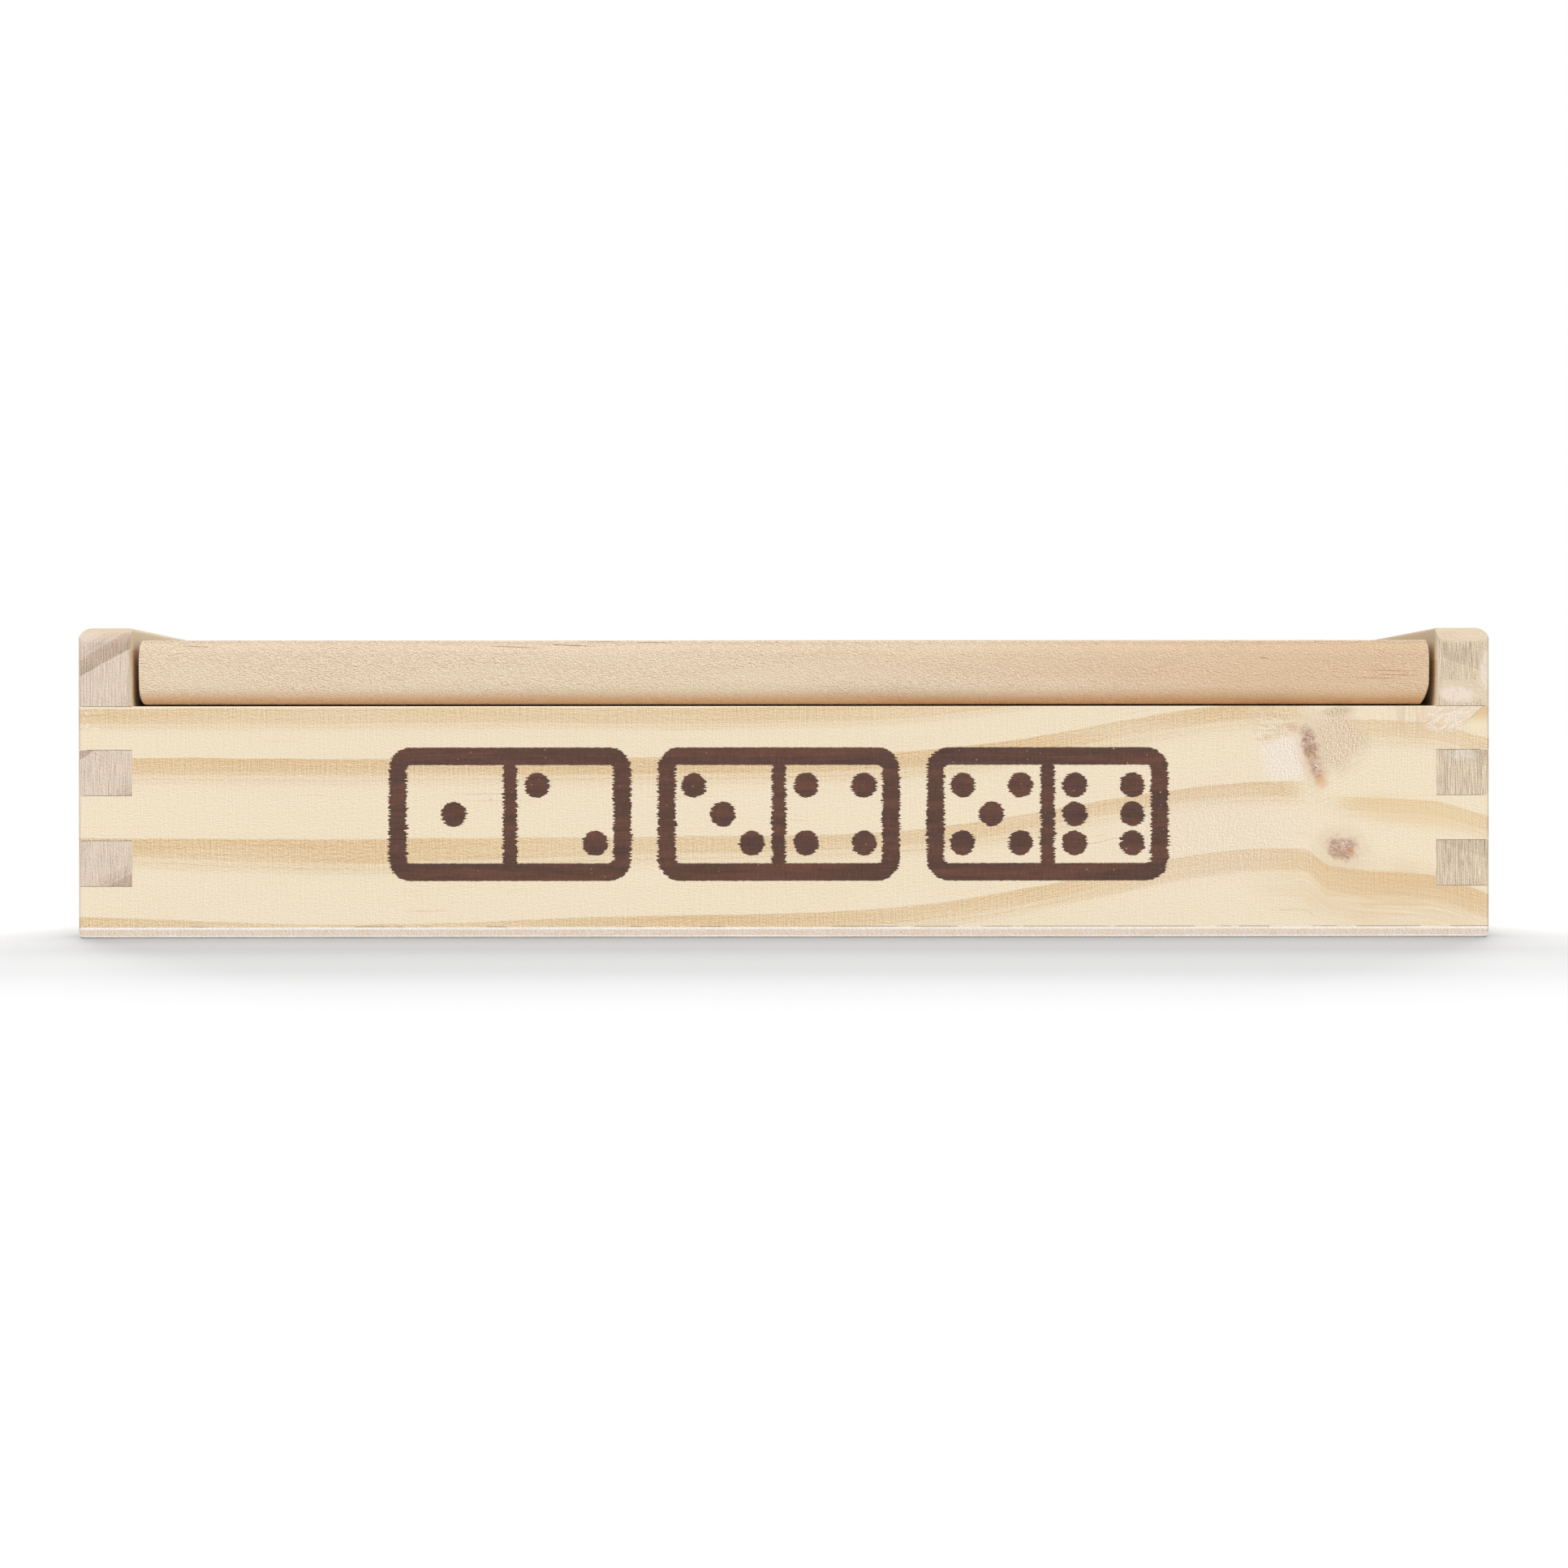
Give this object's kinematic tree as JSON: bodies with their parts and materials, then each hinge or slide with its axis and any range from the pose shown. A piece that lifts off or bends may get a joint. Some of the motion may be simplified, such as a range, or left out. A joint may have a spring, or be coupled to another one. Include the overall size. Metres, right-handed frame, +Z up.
{
  "type": "domino storage box",
  "caption": "Long low finger-jointed wooden box on a plywood bottom, with a thick lid that lies between the raised end boards and swings up on hidden dowels.",
  "frame": {"origin": "middle of the underside, which the box stands on", "axes": "+X along the box's length, to the right as seen from the front; -Y towards the front, where the lid lifts; +Z up"},
  "size_m": [0.19, 0.066, 0.0417],
  "materials": {
    "pine_face": "sanded, unfinished",
    "pine_end": "sawn end grain, unfinished",
    "face_ply": "sanded, unfinished",
    "core_ply": "sawn edge, unfinished",
    "beech_lid": "sanded, unfinished",
    "dowel": "sanded, unfinished"
  },
  "bodies": {
    "box": {"front_board": "pine_face", "back_board": "pine_face", "left_end_board": "pine_end", "right_end_board": "pine_end", "bottom_face_ply": "face_ply", "bottom_core_ply": "core_ply", "bottom_inner_ply": "face_ply", "left_pivot_dowel": "dowel", "right_pivot_dowel": "dowel"},
    "lid": {"lid": "beech_lid"}
  },
  "joints": [
    {"name": "lid_pivot", "type": "hinge", "parent": "box", "child": "lid", "pos_m": [0, 0.01979, 0.03572], "axis": [-1, 0, 0], "range_deg": [0, 103]}
  ]
}
